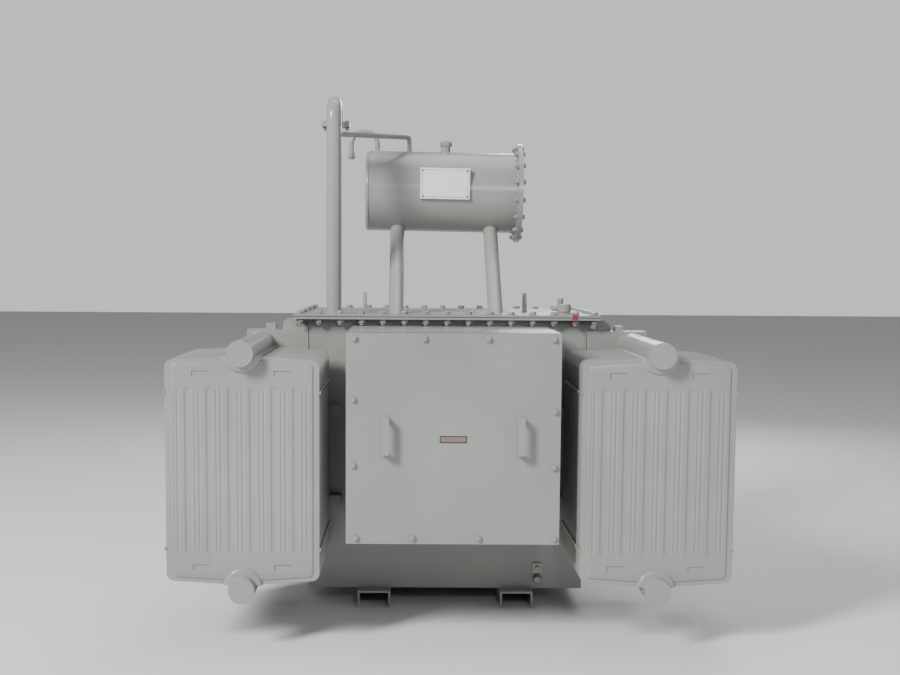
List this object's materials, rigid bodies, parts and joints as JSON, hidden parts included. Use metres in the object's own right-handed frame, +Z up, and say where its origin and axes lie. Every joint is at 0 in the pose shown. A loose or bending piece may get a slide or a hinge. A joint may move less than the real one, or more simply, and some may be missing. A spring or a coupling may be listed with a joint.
{
  "type": "power transformer",
  "caption": "Oil-filled power transformer: welded tank on channel skids, two pressed-steel radiators on header pipes, bolted cable boxes and an oil conservator with vent pipe.",
  "frame": {"origin": "on the ground plane under the middle of the overall footprint, 23 mm in front of the tank's own centre line", "axes": "+Z up, +X to the right as seen by someone facing the rating plate, +Y from that side to the back"},
  "size_m": [1.934, 1.874, 1.9393],
  "materials": {
    "grey_paint": "semi-gloss enamel, light greenish grey",
    "gasket_rubber": "matte black",
    "plate_white": "satin, blank",
    "label_white": "matte, blank",
    "strap_red": "semi-gloss dark red",
    "plated_steel": "dull plated"
  },
  "bodies": {
    "root": {"back_box_cover": "grey_paint", "back_cable_box": "grey_paint", "back_cover_handles": "grey_paint", "bonding_strap": "strap_red", "breather_coupling": "grey_paint", "breather_pipe": "grey_paint", "conservator_cover": "grey_paint", "conservator_filler": "grey_paint", "conservator_flange": "grey_paint", "conservator_left_end": "grey_paint", "conservator_shell": "grey_paint", "drain_plug": "plated_steel", "duct_blocks": "grey_paint", "earthing_pad": "plated_steel", "equalizer_pipe": "grey_paint", "front_box_cover": "grey_paint", "front_cable_box": "grey_paint", "front_cover_handles": "grey_paint", "front_cover_label": "label_white", "left_conservator_leg": "grey_paint", "left_lower_duct": "grey_paint", "left_lower_header": "grey_paint", "left_radiator_fins": "grey_paint", "left_radiator_ties": "grey_paint", "left_skid": "grey_paint", "left_stiffeners": "grey_paint", "left_upper_duct": "grey_paint", "left_upper_header": "grey_paint", "lid_gasket": "gasket_rubber", "lid_lifting_lugs": "grey_paint", "rating_plate": "plate_white", "right_conservator_leg": "grey_paint", "right_lower_duct": "grey_paint", "right_lower_header": "grey_paint", "right_radiator_fins": "grey_paint", "right_radiator_ties": "grey_paint", "right_skid": "grey_paint", "right_stiffeners": "grey_paint", "right_upper_duct": "grey_paint", "right_upper_header": "grey_paint", "tank_body": "grey_paint", "tank_lid": "grey_paint", "tank_lifting_lugs": "grey_paint", "tank_rim": "grey_paint", "thermometer_pocket": "grey_paint", "vent_cover": "grey_paint", "vent_flange": "grey_paint", "vent_pipe": "grey_paint"}
  },
  "joints": []
}
